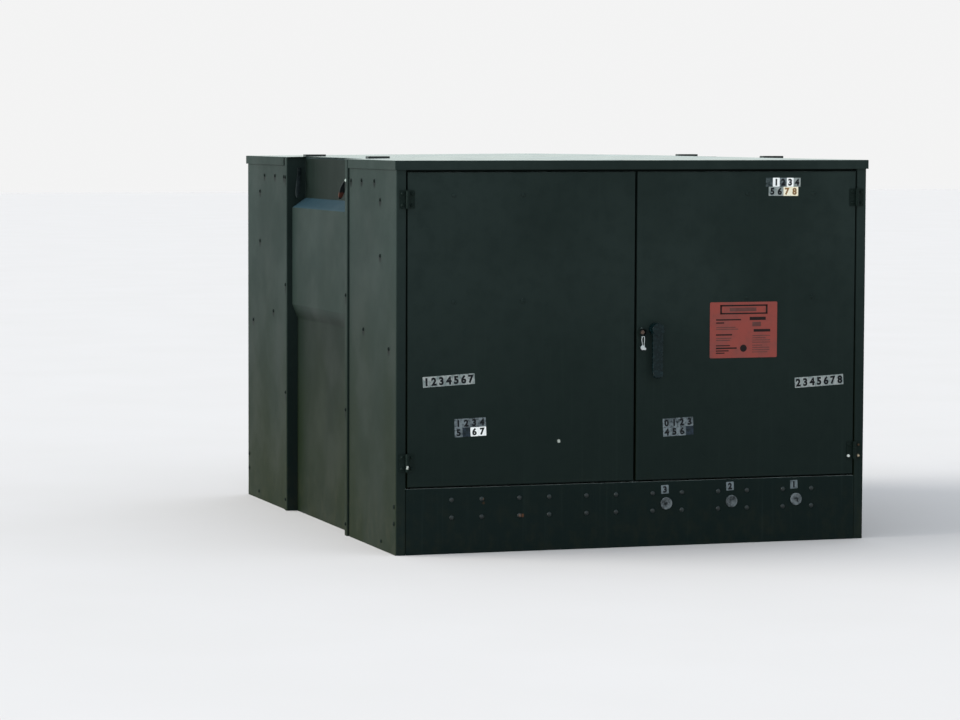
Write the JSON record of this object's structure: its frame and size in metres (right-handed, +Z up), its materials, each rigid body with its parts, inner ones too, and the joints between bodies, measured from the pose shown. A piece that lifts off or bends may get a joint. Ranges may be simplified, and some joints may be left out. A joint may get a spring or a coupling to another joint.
{
  "type": "roadside utility cabinet",
  "caption": "Pad-mounted switchgear cabinet in folded steel sheet, with hinged doors front and rear, recessed side bays, latches, switches and fuses inside.",
  "frame": {"origin": "middle of the footprint on the ground, under the centre of the bounding box", "axes": "+Z up, front doors face -Y, +X to the right seen from the front"},
  "size_m": [1.727, 2.0368, 1.334],
  "materials": {
    "cabinet_paint": "semi-gloss dark green polyester powder coat",
    "handle_paint": "satin near-black coat on a casting",
    "hinge_paint": "dark green paint over steel, chipped",
    "galvanised_steel": "hot-dip galvanised",
    "painted_fastener": "painted over with the cabinet",
    "barrier_board": "red-brown glass polyester board",
    "insulator_resin": "grey cycloaliphatic resin",
    "copper": "tarnished copper",
    "fuse_tube": "brown glass epoxy tube with plated ends",
    "seal_metal": "bright wire and crimped beads",
    "indicator_face": "grey weathered lens and housing"
  },
  "bodies": {
    "enclosure": {"base_bolts": "painted_fastener", "base_frame": "galvanised_steel", "bay_hooks": "painted_fastener", "bay_jamb_front_left": "cabinet_paint", "bay_jamb_front_right": "cabinet_paint", "bay_jamb_rear_left": "cabinet_paint", "bay_jamb_rear_right": "cabinet_paint", "bay_panel_left": "cabinet_paint", "bay_panel_right": "cabinet_paint", "bus_bars": "copper", "cable_brackets": "galvanised_steel", "fault_indicators": "indicator_face", "frame_hinge_halves": "hinge_paint", "front_base_panel": "cabinet_paint", "front_door_frame": "cabinet_paint", "fuse_contacts": "copper", "ground_bus": "copper", "insulating_barriers": "barrier_board", "insulators": "insulator_resin", "mounting_rails": "galvanised_steel", "rear_base_panel": "cabinet_paint", "rear_door_frame": "cabinet_paint", "roof": "cabinet_paint", "roof_lugs": "painted_fastener", "side_panel_front_left": "cabinet_paint", "side_panel_front_right": "cabinet_paint", "side_panel_rear_left": "cabinet_paint", "side_panel_rear_right": "cabinet_paint", "side_screws": "painted_fastener", "switch_contacts": "copper"},
    "front_left_door": {"front_left_door": "cabinet_paint", "front_left_hinge_halves": "hinge_paint", "left_storage_rack": "galvanised_steel"},
    "front_right_door": {"front_right_door": "cabinet_paint", "front_right_hinge_halves": "hinge_paint", "right_storage_rack": "galvanised_steel", "wire_seal": "seal_metal"},
    "rear_left_door": {"rear_left_door": "cabinet_paint", "rear_left_hinge_halves": "hinge_paint"},
    "rear_right_door": {"rear_right_door": "cabinet_paint", "rear_right_hinge_halves": "hinge_paint"},
    "front_handle": {"front_handle": "handle_paint", "front_latch_cam": "galvanised_steel"},
    "rear_handle": {"rear_handle": "handle_paint", "rear_latch_cam": "galvanised_steel"},
    "front_upper_rod": {"front_upper_rod": "galvanised_steel"},
    "front_lower_rod": {"front_lower_rod": "galvanised_steel"},
    "rear_upper_rod": {"rear_upper_rod": "galvanised_steel"},
    "rear_lower_rod": {"rear_lower_rod": "galvanised_steel"},
    "front_lock_bolt": {"front_lock_bolt": "painted_fastener"},
    "rear_lock_bolt": {"rear_lock_bolt": "painted_fastener"},
    "left_switch": {"left_switch_blades": "copper"},
    "right_switch": {"right_switch_blades": "copper"},
    "fuse_1": {"fuse_1": "fuse_tube"},
    "fuse_2": {"fuse_2": "fuse_tube"},
    "fuse_3": {"fuse_3": "fuse_tube"},
    "fuse_4": {"fuse_4": "fuse_tube"},
    "fuse_5": {"fuse_5": "fuse_tube"},
    "fuse_6": {"fuse_6": "fuse_tube"}
  },
  "joints": [
    {"name": "front_left_door_hinge", "type": "hinge", "parent": "enclosure", "child": "front_left_door", "pos_m": [-0.816, -0.983, 0.7505], "axis": [0, 0, -1], "range_deg": [0, 115]},
    {"name": "front_right_door_hinge", "type": "hinge", "parent": "enclosure", "child": "front_right_door", "pos_m": [0.816, -0.983, 0.7505], "axis": [0, 0, 1], "range_deg": [0, 115]},
    {"name": "rear_left_door_hinge", "type": "hinge", "parent": "enclosure", "child": "rear_left_door", "pos_m": [-0.816, 0.983, 0.7505], "axis": [0, 0, 1], "range_deg": [0, 115]},
    {"name": "rear_right_door_hinge", "type": "hinge", "parent": "enclosure", "child": "rear_right_door", "pos_m": [0.816, 0.983, 0.7505], "axis": [0, 0, -1], "range_deg": [0, 115]},
    {"name": "front_handle_turn", "type": "hinge", "parent": "front_right_door", "child": "front_handle", "pos_m": [0.07, -0.975, 0.745], "axis": [0, -1, 0], "range_deg": [0, 90]},
    {"name": "front_upper_rod_slide", "type": "slide", "parent": "front_right_door", "child": "front_upper_rod", "axis": [0, 0, -1], "range_m": [0, 0.025]},
    {"name": "front_lower_rod_slide", "type": "slide", "parent": "front_right_door", "child": "front_lower_rod", "axis": [0, 0, 1], "range_m": [0, 0.025]},
    {"name": "front_lock_bolt_turn", "type": "hinge", "parent": "front_right_door", "child": "front_lock_bolt", "pos_m": [0.023, -0.975, 0.735], "axis": [0, -1, 0], "continuous": true},
    {"name": "rear_handle_turn", "type": "hinge", "parent": "rear_left_door", "child": "rear_handle", "pos_m": [-0.07, 0.975, 0.745], "axis": [0, 1, 0], "range_deg": [0, 90]},
    {"name": "rear_upper_rod_slide", "type": "slide", "parent": "rear_left_door", "child": "rear_upper_rod", "axis": [0, 0, -1], "range_m": [0, 0.025]},
    {"name": "rear_lower_rod_slide", "type": "slide", "parent": "rear_left_door", "child": "rear_lower_rod", "axis": [0, 0, 1], "range_m": [0, 0.025]},
    {"name": "rear_lock_bolt_turn", "type": "hinge", "parent": "rear_left_door", "child": "rear_lock_bolt", "pos_m": [-0.023, 0.975, 0.735], "axis": [0, 1, 0], "continuous": true},
    {"name": "left_switch_shaft", "type": "hinge", "parent": "enclosure", "child": "left_switch", "pos_m": [-0.36225, -0.256, 1], "axis": [-1, 0, 0], "range_deg": [0, 75]},
    {"name": "right_switch_shaft", "type": "hinge", "parent": "enclosure", "child": "right_switch", "pos_m": [0.36225, -0.256, 1], "axis": [-1, 0, 0], "range_deg": [0, 75]},
    {"name": "fuse_1_trunnion", "type": "hinge", "parent": "enclosure", "child": "fuse_1", "pos_m": [-0.60375, 0.256, 0.56], "axis": [-1, 0, 0], "range_deg": [0, 80]},
    {"name": "fuse_2_trunnion", "type": "hinge", "parent": "enclosure", "child": "fuse_2", "pos_m": [-0.36225, 0.256, 0.56], "axis": [-1, 0, 0], "range_deg": [0, 80]},
    {"name": "fuse_3_trunnion", "type": "hinge", "parent": "enclosure", "child": "fuse_3", "pos_m": [-0.12075, 0.256, 0.56], "axis": [-1, 0, 0], "range_deg": [0, 80]},
    {"name": "fuse_4_trunnion", "type": "hinge", "parent": "enclosure", "child": "fuse_4", "pos_m": [0.12075, 0.256, 0.56], "axis": [-1, 0, 0], "range_deg": [0, 80]},
    {"name": "fuse_5_trunnion", "type": "hinge", "parent": "enclosure", "child": "fuse_5", "pos_m": [0.36225, 0.256, 0.56], "axis": [-1, 0, 0], "range_deg": [0, 80]},
    {"name": "fuse_6_trunnion", "type": "hinge", "parent": "enclosure", "child": "fuse_6", "pos_m": [0.60375, 0.256, 0.56], "axis": [-1, 0, 0], "range_deg": [0, 80]}
  ],
  "couplings": [
    {"joint": "front_upper_rod_slide", "follows": "front_handle_turn", "m_per_rad": 0.0159},
    {"joint": "front_lower_rod_slide", "follows": "front_handle_turn", "m_per_rad": 0.0159},
    {"joint": "rear_upper_rod_slide", "follows": "rear_handle_turn", "m_per_rad": 0.0159},
    {"joint": "rear_lower_rod_slide", "follows": "rear_handle_turn", "m_per_rad": 0.0159}
  ]
}
